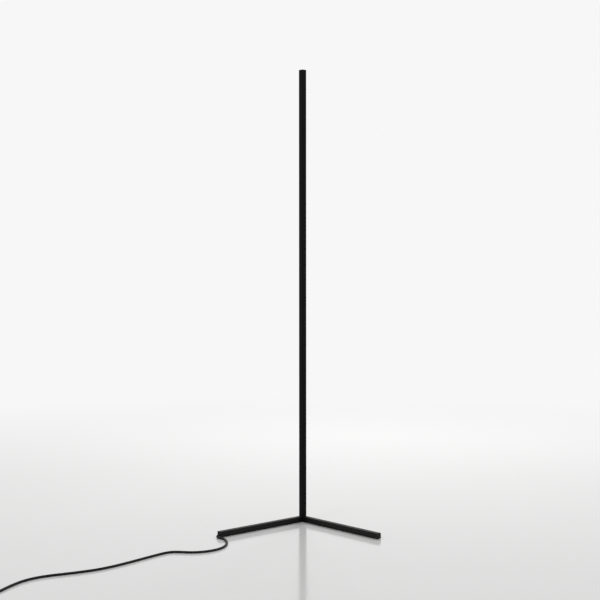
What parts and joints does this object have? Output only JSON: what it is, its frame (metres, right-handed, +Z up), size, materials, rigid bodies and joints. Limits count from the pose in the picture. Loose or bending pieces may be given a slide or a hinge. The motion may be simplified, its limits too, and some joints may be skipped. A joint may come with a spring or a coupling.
{
  "type": "corner floor lamp",
  "caption": "Slim upright floor lamp for a room corner: square pole with a light strip and diffuser down its back, right-angled base of two bars, cord, in-line controller and adapter.",
  "frame": {"origin": "on the floor under the pole's axis, at the corner of the base", "axes": "+Z up along the pole; the light shines towards +Y, into the room's corner; the base opens towards -Y; the cord leaves the bar at -X"},
  "size_m": [1.1174, 0.9123, 1.4],
  "materials": {
    "black_aluminium": "satin black anodised",
    "black_steel": "satin black powder coat",
    "milky_plastic": "milky, satin",
    "board_white": "semi-matt white",
    "chip_cream": "cream",
    "steel": "zinc-plated",
    "nickel": "nickel-plated",
    "black_plastic": "fine-grained black",
    "grey_rubber": "matt dark grey",
    "cord_jacket": "satin black jacket",
    "board_green": "solder mask",
    "ferrite": "dark ferrite with tape"
  },
  "bodies": {
    "root": {"pole_lower": "black_aluminium", "pole_middle": "black_aluminium", "pole_upper": "black_aluminium", "diffuser_lower": "milky_plastic", "diffuser_middle": "milky_plastic", "diffuser_upper": "milky_plastic", "led_board_lower": "board_white", "led_board_middle": "board_white", "led_board_upper": "board_white", "led_chips_lower": "chip_cream", "led_chips_middle": "chip_cream", "led_chips_upper": "chip_cream", "link_socket_lower": "board_white", "link_socket_upper": "board_white", "link_plug_lower": "black_plastic", "link_plug_upper": "black_plastic", "strip_plug": "board_white", "splice_bar_lower": "steel", "splice_bar_upper": "steel", "anchor_bar": "steel", "bar_screws": "steel", "pole_bolt": "steel", "top_cap": "black_plastic", "corner_block": "black_steel", "left_tube": "black_steel", "right_tube": "black_steel", "tube_screws": "steel", "left_end_cap": "black_plastic", "right_end_cap": "black_plastic", "corner_pad": "grey_rubber", "left_pad": "grey_rubber", "right_pad": "grey_rubber", "inner_lead": "cord_jacket", "strain_relief": "cord_jacket", "cord_run": "cord_jacket", "controller_base": "black_plastic", "controller_cover": "black_plastic", "controller_board": "board_green", "dome_switches": "steel", "indicator_window": "milky_plastic", "controller_screws": "steel", "controller_relief_in": "cord_jacket", "controller_relief_out": "cord_jacket", "cord_link": "cord_jacket", "cord_coil": "cord_jacket", "cord_tie": "grey_rubber", "adapter_front": "black_plastic", "adapter_back": "black_plastic", "adapter_pins": "nickel", "adapter_board": "board_green", "adapter_transformer": "ferrite", "adapter_relief": "cord_jacket"},
    "power_button": {"button_power": "grey_rubber"},
    "colour_button": {"button_colour": "grey_rubber"},
    "mode_button": {"button_mode": "grey_rubber"}
  },
  "joints": [
    {"name": "power_press", "type": "slide", "parent": "root", "child": "power_button", "axis": [0, 0, -1], "range_m": [0, 0.0006], "stiffness_N_per_m": 1000},
    {"name": "colour_press", "type": "slide", "parent": "root", "child": "colour_button", "axis": [0, 0, -1], "range_m": [0, 0.0006], "stiffness_N_per_m": 1000},
    {"name": "mode_press", "type": "slide", "parent": "root", "child": "mode_button", "axis": [0, 0, -1], "range_m": [0, 0.0006], "stiffness_N_per_m": 1000}
  ]
}
